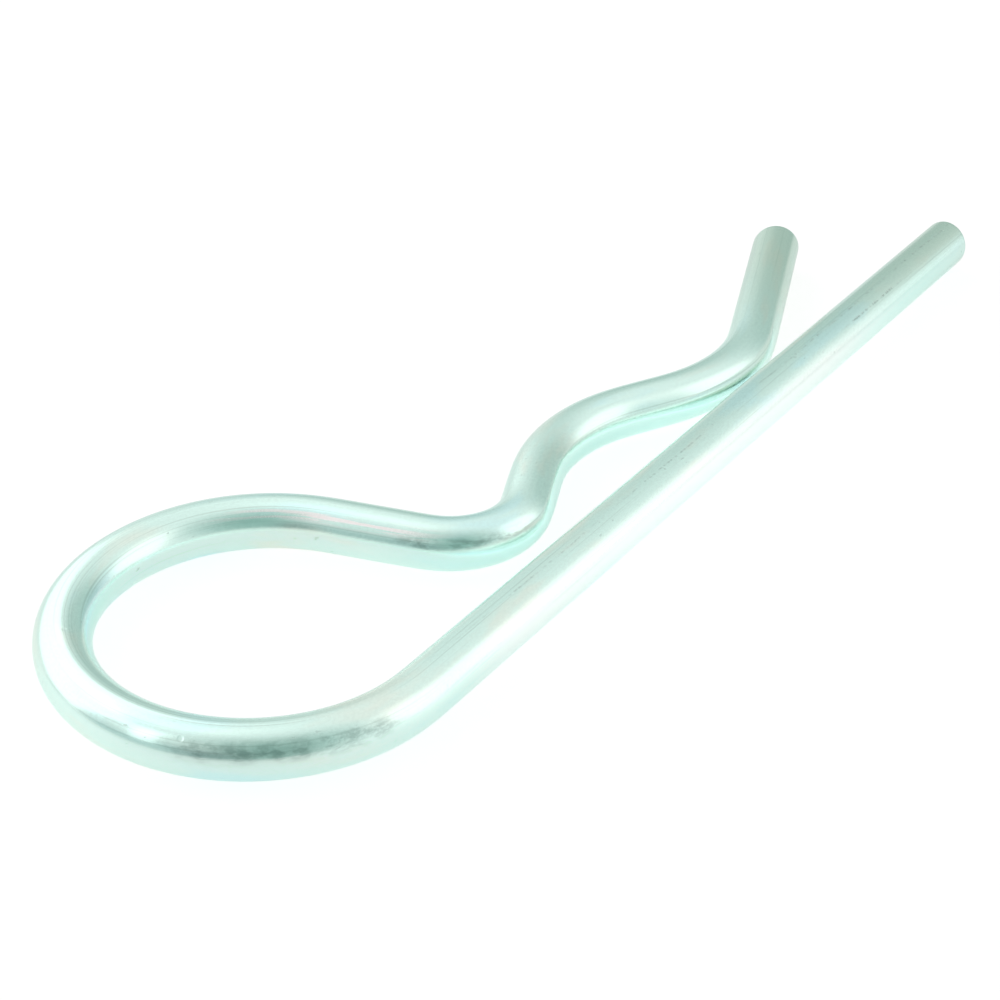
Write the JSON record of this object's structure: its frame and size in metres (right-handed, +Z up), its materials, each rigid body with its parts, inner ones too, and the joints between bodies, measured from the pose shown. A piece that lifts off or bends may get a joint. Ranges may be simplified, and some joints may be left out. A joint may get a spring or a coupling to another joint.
{
  "type": "hitch r clip pin",
  "caption": "R-shaped retaining pin bent from round spring wire: a straight leg, a round head loop and a wavy leg that snaps over a shaft.",
  "frame": {"origin": "centre of the clip's outline as it lies flat, on the surface it lies on", "axes": "+X along the straight leg from the head loop towards the tips, +Y from the straight leg towards the wavy leg, +Z up out of the clip's plane"},
  "size_m": [0.119, 0.038, 0.005],
  "materials": {
    "zinc_plate": "bright zinc plate with a pale mint-green passivation tint, over drawn spring wire with fine lengthwise draw lines"
  },
  "bodies": {
    "root": {"r_clip": "zinc_plate"}
  },
  "joints": []
}
